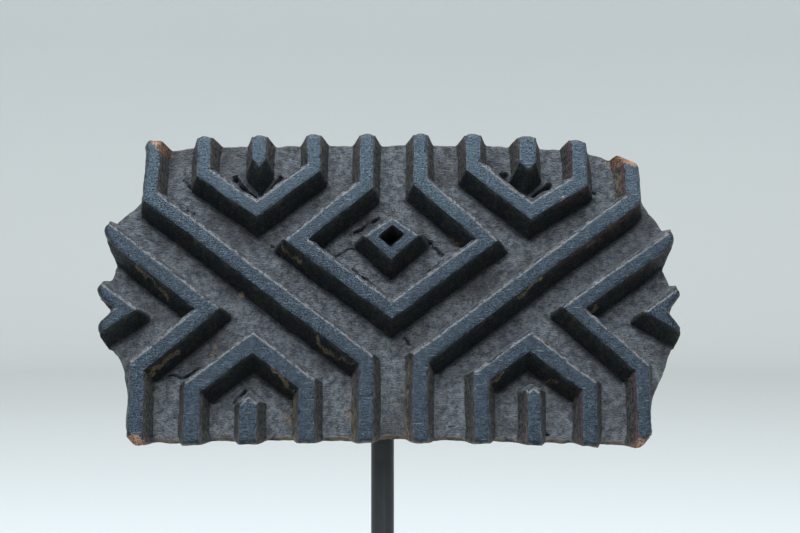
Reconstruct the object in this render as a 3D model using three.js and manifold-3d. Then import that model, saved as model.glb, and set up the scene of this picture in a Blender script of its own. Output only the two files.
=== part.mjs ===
// A relief-carved wooden block on a steel display post.
//
// The block leans back on a vertical post, whose turned-down top goes up into a lined hole in the
// block's underside. The post stands on a flat base plate, screwed on from beneath, over a rubber pad.
// Millimetres, +Z up, the carved face looks towards -Y. The origin is under the middle of the base,
// on the post's axis.

import * as THREE from "three";
import { mergeVertices } from "three/addons/utils/BufferGeometryUtils.js";
import Module from "manifold-3d";

// Gap kept between pieces that rest on or in each other.
const GAP = 0.3;

// Stand.
const PAD = { width: 116, depth: 86, thickness: 1.5 };
const BASE = { width: 120, depth: 90, thickness: 10, cornerRadius: 2, chamfer: 0.8 };
const POST = { radius: 4, exposed: 72, spigotRadius: 3, spigotLength: 38, tipChamfer: 0.8 };
const SCREW = { threadRadius: 2.4, length: 16, headRadius: 4.25, headHeight: 5 };
const HEX_SOCKET = { radius: 2.3, depth: 2.5 };
const SCREW_WAY = { radius: 2.75, counterboreRadius: 5, counterboreDepth: 6.6 };
const TAPPED_HOLE = { radius: 2.6, depth: 14 };
const LOCK_WASHER = { innerRadius: 2.6, outerRadius: 4.4, thickness: 1.2 };
const SUPPORT_WASHER = { innerRadius: 3.3, outerRadius: 8, thickness: 1 };
const BUSH = { innerRadius: 3.15, outerRadius: 4, length: 40 };

// Carved block, described on its face: x to the right, y up the face, z out of the wood from the
// ridges' flat tops.
const LEAN = THREE.MathUtils.degToRad(15);
const BLOCK_THICKNESS = 40;
const RELIEF = 10;
const WALL_RUN = 2.6;
const RIDGE_ROOT = 1;
const RUN_OFF = 62;
const FACE_OFFSET_X = 1.9;
const UNDERSIDE_Y = -51.5;
const TOP_SIDE_Y = 55.5;
const TOP_SIDE_TAPER = THREE.MathUtils.degToRad(6);
const END_TAPER_PER_DEPTH = 0.0011;
const HOLE_BEHIND_FACE = 31;
const WASHER_SEAT = { radius: 9, depth: 0.8 };
const BUSH_HOLE_RADIUS = BUSH.outerRadius + GAP;

const ROUND_SIDES = 48;

// Outline of the face, anticlockwise from the lower left corner.
const FACE_OUTLINE = [
  [-85.5, -53], [-60, -51.2], [0, -50.9], [45, -52.2], [84.5, -54.3],
  [89.5, -48], [90.5, -38.5], [95.5, -26], [99.3, -17], [99.3, -13], [95.6, -8.5],
  [99.3, -2], [98.5, 2.5], [95.5, 9.5], [98.5, 17.5], [97.5, 22], [93, 29], [89, 34.5],
  [87.3, 45], [84.5, 48], [76.5, 52], [68.5, 53.4],
  [48, 55.1], [30, 55.7], [11, 56], [-24, 55.5], [-66, 55.4], [-84.2, 53.5],
  [-85.5, 36], [-89, 31.5], [-94.5, 27.5], [-97.5, 23], [-97, 18.5], [-94.6, 12.5],
  [-96, 6], [-98.6, 2.5], [-98.8, -1.5], [-94, -7.3], [-98.8, -12], [-98.5, -16],
  [-91.5, -25.5], [-90, -34], [-89, -48],
];

// Middle lines of the ridges. Those that reach the block's edge run on past it and are trimmed.
const RIDGES = [
  { width: 4.8, line: [[-81.5, RUN_OFF], [-81.8, 33.5], [-7.8, -24.2], [-7.7, -RUN_OFF]] },
  { width: 4.9, line: [[83.8, RUN_OFF], [84.3, 32.5], [10.7, -23.6], [10.6, -RUN_OFF]] },
  { width: 4.4, line: [[-63.7, RUN_OFF], [-63.8, 41.9], [-45.3, 28.6], [-25.7, 43.7], [-25.9, RUN_OFF]] },
  { width: 4.7, line: [[29.5, RUN_OFF], [29.5, 44.3], [49.1, 28.2], [66.3, 38.9], [66, RUN_OFF]] },
  {
    width: 4.6,
    line: [
      [-7.6, RUN_OFF], [-7.6, 37.6], [-31.5, 17.7], [1.3, -7],
      [33.8, 17.8], [11.1, 38.8], [11.2, RUN_OFF],
    ],
  },
  { width: 4.9, line: [[-105, 27.7], [-61.3, -6.4], [-84.7, -26.3], [-84.7, -RUN_OFF]] },
  { width: 4.4, line: [[105, 24.1], [62.8, -6.2], [85.5, -27], [85.4, -RUN_OFF]] },
  { width: 4.1, line: [[-105, 5.6], [-89.3, -6.6], [-105, -17.5]] },
  { width: 4.1, line: [[107, 4.3], [91.3, -7.6], [107, -17]] },
  { width: 5.4, line: [[-66.2, -RUN_OFF], [-66, -33.5], [-45.7, -18.2], [-27.7, -32.5], [-27.5, -RUN_OFF]] },
  { width: 4.9, line: [[31.2, -RUN_OFF], [31.2, -30.1], [47.9, -18.1], [67.7, -33.4], [67.5, -RUN_OFF]] },
];

// Short pointed pegs: the two sides' x, the shoulders' y, and the point.
const PEGS = [
  { left: -47.1, right: -42.3, shoulder: 47.1, tip: [-44.6, 44.2], end: RUN_OFF },
  { left: 45.3, right: 51, shoulder: 45.7, tip: [48.4, 43.4], end: RUN_OFF },
  { left: -49.9, right: -44.1, shoulder: -39.6, tip: [-47.1, -36.9], end: -RUN_OFF },
  { left: 46.4, right: 50.9, shoulder: -35.8, tip: [48.5, -34.3], end: -RUN_OFF },
];

// The small diamond in the middle of the large one, and its pit.
const DIAMOND = [[1.3, 25.5], [-7.8, 19.1], [0.9, 11.1], [10.3, 19.1]];
const DIAMOND_PIT = [[1.4, 23.2], [-3.3, 18.9], [0.9, 14.9], [5.8, 19.6]];

const MATERIALS = {
  wood: { color: 0x3a434d, roughness: 0.55, metalness: 0 },
  blackenedSteel: { color: 0x2b2d30, roughness: 0.45, metalness: 0.85 },
  zincedSteel: { color: 0x8f9194, roughness: 0.4, metalness: 0.9 },
  brass: { color: 0xa8894c, roughness: 0.4, metalness: 0.9 },
  nylon: { color: 0x1c1c1e, roughness: 0.6, metalness: 0 },
  rubber: { color: 0x17181a, roughness: 0.85, metalness: 0 },
};

const wasm = await Module();
wasm.setup();

// A closed mesh as a solid that can be joined and cut.
function toSolid(geometry) {
  const positions = geometry.clone();
  positions.deleteAttribute("normal");
  positions.deleteAttribute("uv");
  const merged = mergeVertices(positions, 1e-4);
  return new wasm.Manifold(new wasm.Mesh({
    numProp: 3,
    vertProperties: new Float32Array(merged.attributes.position.array),
    triVerts: new Uint32Array(merged.index.array),
  }));
}

// A cut solid as a geometry again.
function toGeometry(solid) {
  const mesh = solid.getMesh();
  const geometry = new THREE.BufferGeometry();
  geometry.setAttribute("position", new THREE.BufferAttribute(mesh.vertProperties, 3));
  geometry.setIndex(new THREE.BufferAttribute(mesh.triVerts, 1));
  geometry.computeVertexNormals();
  return geometry;
}

function namedMesh(name, geometry, material) {
  const mesh = new THREE.Mesh(geometry, new THREE.MeshStandardMaterial(material));
  mesh.name = name;
  return mesh;
}

function shapeOf(points) {
  return new THREE.Shape(points.map(([x, y]) => new THREE.Vector2(x, y)));
}

// A round solid standing on z = bottom.
function uprightCylinder(radius, bottom, height, sides = ROUND_SIDES) {
  const cylinder = new THREE.CylinderGeometry(radius, radius, height, sides);
  cylinder.rotateX(Math.PI / 2);
  cylinder.translate(0, 0, bottom + height / 2);
  return cylinder;
}

// A solid of revolution about the z axis, from [radius, z] pairs.
function turned(profile, sides = ROUND_SIDES) {
  const lathe = new THREE.LatheGeometry(profile.map(([r, z]) => new THREE.Vector2(r, z)), sides);
  lathe.rotateX(Math.PI / 2);
  return lathe;
}

// A flat ring standing on z = bottom.
function ring(innerRadius, outerRadius, bottom, height) {
  const top = bottom + height;
  return turned([
    [innerRadius, bottom], [outerRadius, bottom], [outerRadius, top], [innerRadius, top],
    [innerRadius, bottom],
  ]);
}

// Half a ridge's width to one side of its middle line, with mitred corners.
function offsetLine(line, distance) {
  const points = line.map(([x, y]) => new THREE.Vector2(x, y));
  const normals = points.slice(1).map((point, i) => {
    const along = point.clone().sub(points[i]).normalize();
    return new THREE.Vector2(-along.y, along.x);
  });
  return points.map((point, i) => {
    const before = normals[Math.max(i - 1, 0)];
    const after = normals[Math.min(i, normals.length - 1)];
    const mitre = before.clone().add(after).divideScalar(1 + before.dot(after));
    return point.clone().addScaledVector(mitre, distance);
  });
}

function ridgeShape({ line, width }) {
  const oneSide = offsetLine(line, width / 2);
  const otherSide = offsetLine(line, -width / 2).reverse();
  return new THREE.Shape([...oneSide, ...otherSide]);
}

function pegShape({ left, right, shoulder, tip, end }) {
  return shapeOf([[left, end], [left, shoulder], tip, [right, shoulder], [right, end]]);
}

// A ridge with a flat top at z = 0 whose walls slope out to its root in the ground.
function raised(shape) {
  const geometry = new THREE.ExtrudeGeometry(shape, {
    depth: RIDGE_ROOT,
    bevelThickness: RELIEF,
    bevelSize: WALL_RUN,
    bevelSegments: 1,
  });
  geometry.translate(0, 0, -RELIEF - RIDGE_ROOT);
  return toSolid(geometry);
}

// The block's outer form between two depths. Its sides draw in towards the back, the underside by
// the same angle as the block leans, which makes it level.
function bodyBetween(front, back) {
  const geometry = new THREE.ExtrudeGeometry(shapeOf(FACE_OUTLINE), {
    depth: front - back,
    bevelEnabled: false,
  });
  geometry.translate(0, 0, back);
  const position = geometry.attributes.position;
  for (let i = 0; i < position.count; i += 1) {
    const depth = -position.getZ(i);
    const up = (position.getY(i) - UNDERSIDE_Y) / (TOP_SIDE_Y - UNDERSIDE_Y);
    const rise = THREE.MathUtils.lerp(Math.tan(LEAN), -Math.tan(TOP_SIDE_TAPER), up);
    position.setX(i, position.getX(i) * (1 - depth * END_TAPER_PER_DEPTH));
    position.setY(i, position.getY(i) + depth * rise);
  }
  return toSolid(geometry);
}

// The whole relief with its slab, in the face's own coordinates.
function reliefSolid() {
  const centreRing = shapeOf(DIAMOND);
  centreRing.holes.push(new THREE.Path(shapeOf(DIAMOND_PIT).getPoints()));
  const shapes = [...RIDGES.map(ridgeShape), ...PEGS.map(pegShape), centreRing];
  const ridges = shapes.map(raised).reduce((joined, ridge) => joined.add(ridge));
  const trimmed = ridges.intersect(bodyBetween(0, -BLOCK_THICKNESS));
  return trimmed.add(bodyBetween(-RELIEF, -BLOCK_THICKNESS));
}

// Heights of the stand.
const baseBottom = PAD.thickness;
const baseTop = baseBottom + BASE.thickness;
const shoulder = baseTop + POST.exposed;
const washerTop = shoulder + SUPPORT_WASHER.thickness;
const seat = washerTop + GAP;
const underside = seat - WASHER_SEAT.depth;

// The block's own frame: x to the right, z up the face, y into the wood, leaning back about x.
const undersideBehindFace = UNDERSIDE_Y * Math.sin(LEAN)
  + HOLE_BEHIND_FACE * (Math.cos(LEAN) + Math.tan(LEAN) * Math.sin(LEAN));
const leaningBlock = new THREE.Group();
leaningBlock.rotation.x = -LEAN;
leaningBlock.position.set(
  FACE_OFFSET_X,
  -undersideBehindFace,
  underside - UNDERSIDE_Y * Math.cos(LEAN),
);
leaningBlock.updateMatrixWorld(true);
const intoBlock = leaningBlock.matrixWorld.clone().invert();

function carvedBlock() {
  const faceUpright = new THREE.Matrix4().makeRotationX(Math.PI / 2);
  const relief = toGeometry(reliefSolid()).applyMatrix4(faceUpright);
  const bushHole = uprightCylinder(BUSH_HOLE_RADIUS, underside - 5, BUSH.length + 6 + GAP);
  const washerSeat = uprightCylinder(WASHER_SEAT.radius, seat - 8, 8);
  const cut = toSolid(relief)
    .subtract(toSolid(bushHole.applyMatrix4(intoBlock)))
    .subtract(toSolid(washerSeat.applyMatrix4(intoBlock)));
  return namedMesh("carved_block", toGeometry(cut), MATERIALS.wood);
}

function socketBush() {
  const tube = ring(BUSH.innerRadius, BUSH.outerRadius, 0, BUSH.length);
  const mesh = namedMesh("socket_bush", tube, MATERIALS.brass);
  mesh.position.z = seat;
  return mesh;
}

function supportWasher() {
  const { innerRadius, outerRadius, thickness } = SUPPORT_WASHER;
  const mesh = namedMesh("support_washer", ring(innerRadius, outerRadius, 0, thickness), MATERIALS.nylon);
  mesh.position.z = shoulder;
  return mesh;
}

function post() {
  const { radius, exposed, spigotRadius, spigotLength, tipChamfer } = POST;
  const top = exposed + spigotLength;
  const profile = [
    [0, TAPPED_HOLE.depth], [TAPPED_HOLE.radius, TAPPED_HOLE.depth], [TAPPED_HOLE.radius, 0],
    [radius, 0], [radius, exposed], [spigotRadius, exposed], [spigotRadius, top - tipChamfer],
    [spigotRadius - tipChamfer, top], [0, top],
  ];
  const mesh = namedMesh("post", turned(profile), MATERIALS.blackenedSteel);
  mesh.position.z = baseTop;
  return mesh;
}

function roundedPlate(width, depth, thickness, radius, chamfer) {
  const shape = new THREE.Shape();
  const x = width / 2 - chamfer;
  const y = depth / 2 - chamfer;
  shape.moveTo(radius - x, -y);
  shape.lineTo(x - radius, -y);
  shape.absarc(x - radius, radius - y, radius, -Math.PI / 2, 0, false);
  shape.absarc(x - radius, y - radius, radius, 0, Math.PI / 2, false);
  shape.absarc(radius - x, y - radius, radius, Math.PI / 2, Math.PI, false);
  shape.absarc(radius - x, radius - y, radius, Math.PI, 1.5 * Math.PI, false);
  const plate = new THREE.ExtrudeGeometry(shape, {
    depth: thickness - 2 * chamfer,
    bevelEnabled: chamfer > 0,
    bevelThickness: chamfer,
    bevelSize: chamfer,
    bevelSegments: 1,
    curveSegments: 6,
  });
  plate.translate(0, 0, chamfer);
  return plate;
}

function basePlate() {
  const { width, depth, thickness, cornerRadius, chamfer } = BASE;
  const plate = toSolid(roundedPlate(width, depth, thickness, cornerRadius, chamfer))
    .subtract(toSolid(uprightCylinder(SCREW_WAY.radius, -1, thickness + 2)))
    .subtract(toSolid(uprightCylinder(SCREW_WAY.counterboreRadius, -1, SCREW_WAY.counterboreDepth + 1)));
  const mesh = namedMesh("base_plate", toGeometry(plate), MATERIALS.blackenedSteel);
  mesh.position.z = baseBottom;
  return mesh;
}

function basePad() {
  const pad = roundedPlate(PAD.width, PAD.depth, PAD.thickness, BASE.cornerRadius, 0);
  return namedMesh("base_pad", pad, MATERIALS.rubber);
}

const counterboreTop = baseBottom + SCREW_WAY.counterboreDepth;

function lockWasher() {
  const { innerRadius, outerRadius, thickness } = LOCK_WASHER;
  const mesh = namedMesh("lock_washer", ring(innerRadius, outerRadius, 0, thickness), MATERIALS.zincedSteel);
  mesh.position.z = counterboreTop - thickness;
  return mesh;
}

// A cap screw, head down, with a hexagon socket in its head.
function baseScrew() {
  const { threadRadius, length, headRadius, headHeight } = SCREW;
  const { radius, depth } = HEX_SOCKET;
  const profile = [
    [0, 0], [headRadius, 0], [headRadius, headHeight], [threadRadius, headHeight],
    [threadRadius, headHeight + length], [0, headHeight + length],
  ];
  const socket = uprightCylinder(radius, -1, depth + 1, 6);
  const screw = toSolid(turned(profile)).subtract(toSolid(socket));
  const mesh = namedMesh("base_screw", toGeometry(screw), MATERIALS.zincedSteel);
  mesh.position.z = counterboreTop - LOCK_WASHER.thickness - headHeight;
  return mesh;
}

leaningBlock.add(carvedBlock());

const stand = new THREE.Group();
stand.add(basePad(), basePlate(), lockWasher(), baseScrew(), post());

const displayedBlock = new THREE.Group();
displayedBlock.add(stand, supportWasher(), socketBush(), leaningBlock);

export default displayedBlock;
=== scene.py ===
import math

import bpy
import numpy as np
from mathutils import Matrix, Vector


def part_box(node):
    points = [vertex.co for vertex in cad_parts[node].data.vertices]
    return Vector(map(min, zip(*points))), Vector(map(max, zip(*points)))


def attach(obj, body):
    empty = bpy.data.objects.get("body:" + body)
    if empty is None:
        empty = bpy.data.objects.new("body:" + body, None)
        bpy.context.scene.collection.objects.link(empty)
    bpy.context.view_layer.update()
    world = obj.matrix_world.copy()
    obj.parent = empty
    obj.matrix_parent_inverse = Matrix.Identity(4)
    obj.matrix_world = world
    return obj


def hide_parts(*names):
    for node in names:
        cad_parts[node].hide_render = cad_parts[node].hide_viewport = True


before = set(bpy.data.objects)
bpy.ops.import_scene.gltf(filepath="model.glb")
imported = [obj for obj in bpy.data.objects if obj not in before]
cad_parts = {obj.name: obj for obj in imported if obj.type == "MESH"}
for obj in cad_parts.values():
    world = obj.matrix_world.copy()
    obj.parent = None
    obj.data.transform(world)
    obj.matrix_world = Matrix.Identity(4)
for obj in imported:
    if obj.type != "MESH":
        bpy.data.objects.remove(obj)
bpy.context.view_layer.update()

MM = 0.001

# --------------------
# The carved block, in millimetres on its own face: x to the right, y up the face, depth into
# the wood from the ridges' flat tops.
# --------------------

LEAN = math.radians(15)
RELIEF = 10.0
WALL_RUN = 2.6
BLOCK_THICKNESS = 40.0
FACE_OFFSET_X = 1.9
UNDERSIDE_Y = -51.5
TOP_SIDE_Y = 55.5
TOP_SIDE_TAPER = math.radians(6)
END_TAPER_PER_DEPTH = 0.0011
HOLE_BEHIND_FACE = 31.0
SEAT_GAP = 0.3
SEAT_DEPTH = 0.8
SEAT_RADIUS = 9.0
BUSH_HOLE_RADIUS = 4.3
RUN_OFF = 62.0

# Spacing of the carved face's vertices, and how near one may be to a crease before it joins it.
PITCH = 0.5
CREASE_REACH = 0.5 * PITCH

FACE_OUTLINE = [
    (-85.5, -54), (-60, -53.2), (0, -52.8), (45, -53.4), (84.5, -54.6),
    (89.5, -48), (90.5, -38.5), (95.5, -26), (99.3, -17), (99.3, -13), (95.6, -8.5),
    (99.3, -2), (98.5, 2.5), (95.5, 9.5), (98.5, 17.5), (97.5, 22), (93, 29), (89, 34.5),
    (87.3, 45), (84.5, 48), (76.5, 52), (68.5, 53.8),
    (48, 55.7), (30, 56.3), (11, 56.6), (-24, 56.1), (-66, 55.9), (-84.2, 53.5),
    (-85.5, 36), (-89, 31.5), (-94.5, 27.5), (-97.5, 23), (-97, 18.5), (-94.6, 12.5),
    (-96, 6), (-98.6, 2.5), (-98.8, -1.5), (-94, -7.3), (-98.8, -12), (-98.5, -16),
    (-91.5, -25.5), (-90, -34), (-89, -48),
]

# Middle lines of the ridges, with the width of each flat top.
RIDGES = [
    (4.8, [(-81.5, RUN_OFF), (-81.8, 33.5), (-7.8, -24.2), (-7.7, -RUN_OFF)]),
    (4.9, [(83.8, RUN_OFF), (84.3, 32.5), (10.7, -23.6), (10.6, -RUN_OFF)]),
    (4.4, [(-63.7, RUN_OFF), (-63.8, 41.9), (-45.3, 28.6), (-25.7, 43.7), (-25.9, RUN_OFF)]),
    (4.7, [(29.5, RUN_OFF), (29.5, 44.3), (49.1, 28.2), (66.3, 38.9), (66, RUN_OFF)]),
    (4.6, [(-7.6, RUN_OFF), (-7.6, 37.6), (-31.5, 17.7), (1.3, -7), (33.8, 17.8),
           (11.1, 38.8), (11.2, RUN_OFF)]),
    (4.9, [(-105, 27.7), (-61.3, -6.4), (-84.7, -26.3), (-84.7, -RUN_OFF)]),
    (4.4, [(105, 24.1), (62.8, -6.2), (85.5, -27), (85.4, -RUN_OFF)]),
    (4.1, [(-105, 5.6), (-89.3, -6.6), (-105, -17.5)]),
    (4.1, [(107, 4.3), (91.3, -7.6), (107, -17)]),
    (5.4, [(-66.2, -RUN_OFF), (-66, -33.5), (-45.7, -18.2), (-27.7, -32.5), (-27.5, -RUN_OFF)]),
    (4.9, [(31.2, -RUN_OFF), (31.2, -30.1), (47.9, -18.1), (67.7, -33.4), (67.5, -RUN_OFF)]),
]

# Pointed pegs, as outlines of their tops, anticlockwise, with the run of the walls at the point.
PEGS = [
    (4.1, [(-47.1, RUN_OFF), (-47.1, 47.1), (-44.6, 44.2), (-42.3, 47.1), (-42.3, RUN_OFF)]),
    (4.1, [(45.3, RUN_OFF), (45.3, 45.7), (48.4, 43.4), (51, 45.7), (51, RUN_OFF)]),
    (3.4, [(-44.1, -RUN_OFF), (-44.1, -39.6), (-47.1, -36.9), (-49.9, -39.6), (-49.9, -RUN_OFF)]),
    (3.4, [(50.9, -RUN_OFF), (50.9, -35.8), (48.5, -34.3), (46.4, -35.8), (46.4, -RUN_OFF)]),
]

DIAMOND = [(1.3, 25.5), (-7.8, 19.1), (0.9, 11.1), (10.3, 19.1)]
DIAMOND_PIT = [(1.4, 23.2), (-3.3, 18.9), (0.9, 14.9), (5.8, 19.6)]
PIT_RUN = 2.2
PIT_DEPTH = 8.0

# Slips of the chisel and cracks in the ground: start, end, width, depth.
GOUGES = [
    ((-53.5, 42.2), (-47.3, 35.8), 3.2, 3.6),
    ((-37.4, 42.0), (-43.4, 36.4), 2.8, 3.2),
    ((40.0, 43.6), (45.6, 38.4), 3.0, 3.6),
    ((56.0, 39.9), (50.9, 36.8), 2.8, 3.2),
    ((-11.5, 23.3), (-3.5, 28.2), 1.1, 2.0),
    ((-12.2, 18.3), (-17.7, 14.0), 1.0, 1.2),
    ((10.7, 21.6), (14.5, 19.9), 1.0, 1.8),
    ((14.5, 19.9), (19.0, 14.7), 1.0, 1.6),
    ((-12.2, 9.7), (-4.2, 3.3), 1.0, 1.4),
    ((5.4, -14.4), (7.4, -17.2), 1.0, 1.4),
    ((70.0, 37.6), (72.3, 37.2), 1.0, 1.2),
    ((-71.2, 41.9), (-68.4, 39.3), 0.9, 1.4),
    ((-70.0, 30.9), (-67.5, 29.9), 0.8, 1.0),
    ((-74.8, -25.9), (-71.0, -28.7), 1.0, 1.4),
    ((-70.3, -28.7), (-65.3, -25.2), 1.0, 1.6),
    ((-52.9, -36.7), (-48.5, -32.9), 1.3, 1.8),
    ((21.1, 13.6), (14.5, 9.3), 0.9, 1.0),
    ((-40.9, 18.3), (-37.1, 16.5), 0.8, 1.0),
    ((53.1, -47.6), (54.2, -49.6), 1.1, 1.6),
    ((20.5, -45.8), (23.6, -45.4), 0.7, 0.7),
]

# Breaks at the block's corners: a point on the break's line, its outward direction, its slope.
BREAKS = [
    ((81.8, 45.6), (0.32, 0.95), 1.25),
    ((-79.0, 51.2), (0.45, 0.89), 0.9),
    ((-85.2, -50.4), (-0.45, -0.89), 1.1),
    ((84.6, -51.0), (0.35, -0.94), 1.0),
]

# Streaks of ochre left on the walls: start, end, width.
OCHRE_STREAKS = [
    ((-77.7, 28.4), (-67.5, 21.3), 0.7), ((-67.5, 21.3), (-60.5, 15.4), 1.2),
    ((-37.3, 18.0), (-36.2, 15.4), 1.0), ((-36.2, 15.4), (-30.3, 11.2), 1.1),
    ((-24.3, -16.3), (-19.9, -20.8), 1.3), ((-19.9, -20.8), (-12.1, -25.3), 1.0),
    ((-42.6, -23.2), (-38.5, -27.4), 1.1), ((-38.5, -27.4), (-32.0, -34.0), 1.0),
    ((-85.8, 8.4), (-75.0, -1.4), 1.2), ((-80.7, -28.4), (-71.5, -20.4), 1.2),
    ((67.5, 15.3), (73.1, 18.7), 0.8), ((52.1, 4.8), (45.1, -2.3), 1.2),
    ((34.3, -31.8), (38.6, -28.6), 0.9), ((48.1, -28.3), (57.5, -31.0), 1.2),
    ((71.6, -4.6), (66.0, -10.3), 1.0), ((21.3, 20.5), (25.1, 18.7), 1.1),
]

# Crumbs of light dried paint and chips of bare wood on the ground: place, radius.
TAN_SPOTS = [
    ((2.4, -37.8), 0.9), ((-14.2, -39.0), 0.8), ((-13.6, -41.4), 1.1), ((-34.6, -41.6), 1.1),
    ((-33.4, -43.6), 0.9), ((-59.4, -17.4), 1.0), ((-60.2, -20.0), 0.8), ((-79.2, -34.0), 1.0),
    ((-55.4, -47.6), 0.8), ((-50.6, 0.6), 1.0), ((22.4, 45.6), 0.6), ((60.2, 33.0), 0.5),
    ((40.6, 8.2), 0.7), ((10.6, -12.6), 0.6),
]

# How much further down a downward wall's foot lies, and the level where the ground is even again.
UNDER_SPREAD = 1.6
SPREAD_ENDS_AT = 2.4
BLEND_REACH = 1.2

# How the ground's edge is chopped away between the ridges' ends, below and above.
LOWER_NOTCH = 1.3
UPPER_NOTCH = 0.9

# The lip that hangs along the lower edge: how low, and the depths where its back starts and ends.
LIP = 1.8
LIP_START = 11
LIP_END = 17

# Upward walls are worn round at the top: how far down their run, and how deep there.
WORN_RUN = 0.35
WORN_DEPTH = 0.9

# Patches where the paint has gone and the bare wood shows: place, radius.
BARE_PATCHES = [
    ((80.4, 48.6), 3.0), ((78.2, 50.4), 2.2), ((-78.0, 51.4), 2.0), ((-79.6, 53.0), 1.6),
    ((-84.6, -51.8), 1.9), ((-81.6, -52.6), 1.3), ((-64.6, -54.6), 1.2), ((-61.6, -54.6), 1.1),
    ((84.2, -53.2), 2.0), ((81.6, -53.8), 1.5),
]

BLOCK_SEED = 7

# Rows of vertices down the block's sides, and the rings across its back: scale, and one vertex
# kept of how many.
SIDE_ROWS = 15
BACK_CENTRE_Y = 2.0
BACK_RINGS = [
    (0.97, 1), (0.93, 1), (0.88, 1), (0.83, 1), (0.78, 1), (0.72, 2), (0.66, 2), (0.6, 2), (0.54, 2),
    (0.48, 2), (0.42, 2), (0.36, 4), (0.3, 4), (0.24, 4), (0.18, 8), (0.12, 8), (0.06, 16),
]


def smooth_noise(x, y, size, seed):
    """Smooth noise from -1 to 1 that changes over about size millimetres."""
    table = np.random.default_rng(seed).uniform(-1, 1, (128, 128))
    u = np.asarray(x, float) / size
    v = np.asarray(y, float) / size
    i = np.floor(u).astype(int)
    j = np.floor(v).astype(int)
    fu = u - i
    fv = v - j
    fu = fu * fu * (3 - 2 * fu)
    fv = fv * fv * (3 - 2 * fv)
    i0, i1, j0, j1 = i % 128, (i + 1) % 128, j % 128, (j + 1) % 128
    low = table[i0, j0] * (1 - fu) + table[i1, j0] * fu
    high = table[i0, j1] * (1 - fu) + table[i1, j1] * fu
    return low * (1 - fv) + high * fv


def drift(x, y, size, seed):
    """Smooth noise in both directions across the face."""
    return np.stack([smooth_noise(x, y, size, seed), smooth_noise(x, y, size, seed + 1)], axis=1)


def smooth_step(low, high, value):
    t = np.clip((value - low) / (high - low), 0, 1)
    return t * t * (3 - 2 * t)


def half_plane(start, end, offset, run):
    """The wall beside a line from start to end: its outward direction, place and run.
    The outside is to the right of the line, and offset moves the line outwards."""
    along = np.subtract(end, start) / np.linalg.norm(np.subtract(end, start))
    outward = np.array([along[1], -along[0]])
    return outward, outward @ np.asarray(start, float) + offset, run


def ridge_pieces(width, line):
    """A ridge as straight pieces, each between the mitre lines at its two ends."""
    points = [np.array(p, float) for p in line]
    ways = [(b - a) / np.linalg.norm(b - a) for a, b in zip(points, points[1:])]
    pieces = []
    for i, way in enumerate(ways):
        a, b = points[i], points[i + 1]
        walls = [half_plane(a, b, width / 2, WALL_RUN), half_plane(b, a, width / 2, WALL_RUN)]
        limits = []
        if i > 0:
            mitre = ways[i - 1] + way
            limits.append((-mitre, -mitre @ a))
        if i < len(ways) - 1:
            mitre = ways[i + 1] + way
            limits.append((mitre, mitre @ b))
        pieces.append((walls, limits))
    return pieces


def outline_piece(outline, runs):
    """A convex top as one piece, with a wall along each side of its anticlockwise outline."""
    sides = zip(outline, outline[1:] + outline[:1], runs)
    return [half_plane(a, b, 0, run) for a, b, run in sides], []


def peg_piece(point_run, outline):
    return outline_piece(outline, [WALL_RUN, point_run, point_run, WALL_RUN, WALL_RUN])


RELIEF_PIECES = [piece for width, line in RIDGES for piece in ridge_pieces(width, line)]
RELIEF_PIECES += [peg_piece(run, outline) for run, outline in PEGS]
RELIEF_PIECES += [outline_piece(DIAMOND, [WALL_RUN] * 4)]
PIT_PIECE = outline_piece(DIAMOND_PIT, [PIT_RUN] * 4)


def piece_level(piece, points):
    """0 on a piece's top edge, 1 at its foot, less than 0 on its top, with the way it climbs."""
    walls, limits = piece
    values = np.stack([(points @ outward - place) / run for outward, place, run in walls])
    steepest = values.argmax(axis=0)
    climbs = np.array([outward / run for outward, place, run in walls])[steepest]
    level = values.max(axis=0)
    for direction, place in limits:
        level = np.where(points @ direction <= place + 1e-9, level, np.inf)
    return level, climbs


def relief_level(points):
    """The lowest level of all pieces at each point: 0 on top edges, 1 where the ground starts."""
    level = np.full(len(points), np.inf)
    climb = np.zeros((len(points), 2))
    for piece in RELIEF_PIECES:
        value, direction = piece_level(piece, points)
        nearer = value < level
        level[nearer] = value[nearer]
        climb[nearer] = direction[nearer]
    return level, climb


def crease_corners():
    """Every corner of the relief at the top edge and at the foot."""
    corners = []
    for width, line in RIDGES:
        points = [np.array(p, float) for p in line]
        for before, corner, after in zip(points, points[1:], points[2:]):
            way_in = (corner - before) / np.linalg.norm(corner - before)
            way_out = (after - corner) / np.linalg.norm(after - corner)
            normals = [np.array([-way[1], way[0]]) for way in (way_in, way_out)]
            mitre = (normals[0] + normals[1]) / (1 + normals[0] @ normals[1])
            for reach in (width / 2, width / 2 + WALL_RUN):
                corners += [corner + mitre * reach, corner - mitre * reach]
    for outline in [DIAMOND, DIAMOND_PIT] + [outline for run, outline in PEGS]:
        corners += [np.array(p, float) for p in outline if abs(p[1]) < RUN_OFF]
    return np.array(corners)


def snap_to_level(points, level, climb, free):
    """Moves the free points that are close to the line where level is 0 onto it."""
    steepness = np.linalg.norm(climb, axis=1) + 1e-12
    distance = level / steepness
    near = free & (np.abs(distance) < CREASE_REACH)
    points[near] -= climb[near] * (distance[near] / steepness[near])[:, None]
    free[near] = False


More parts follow.
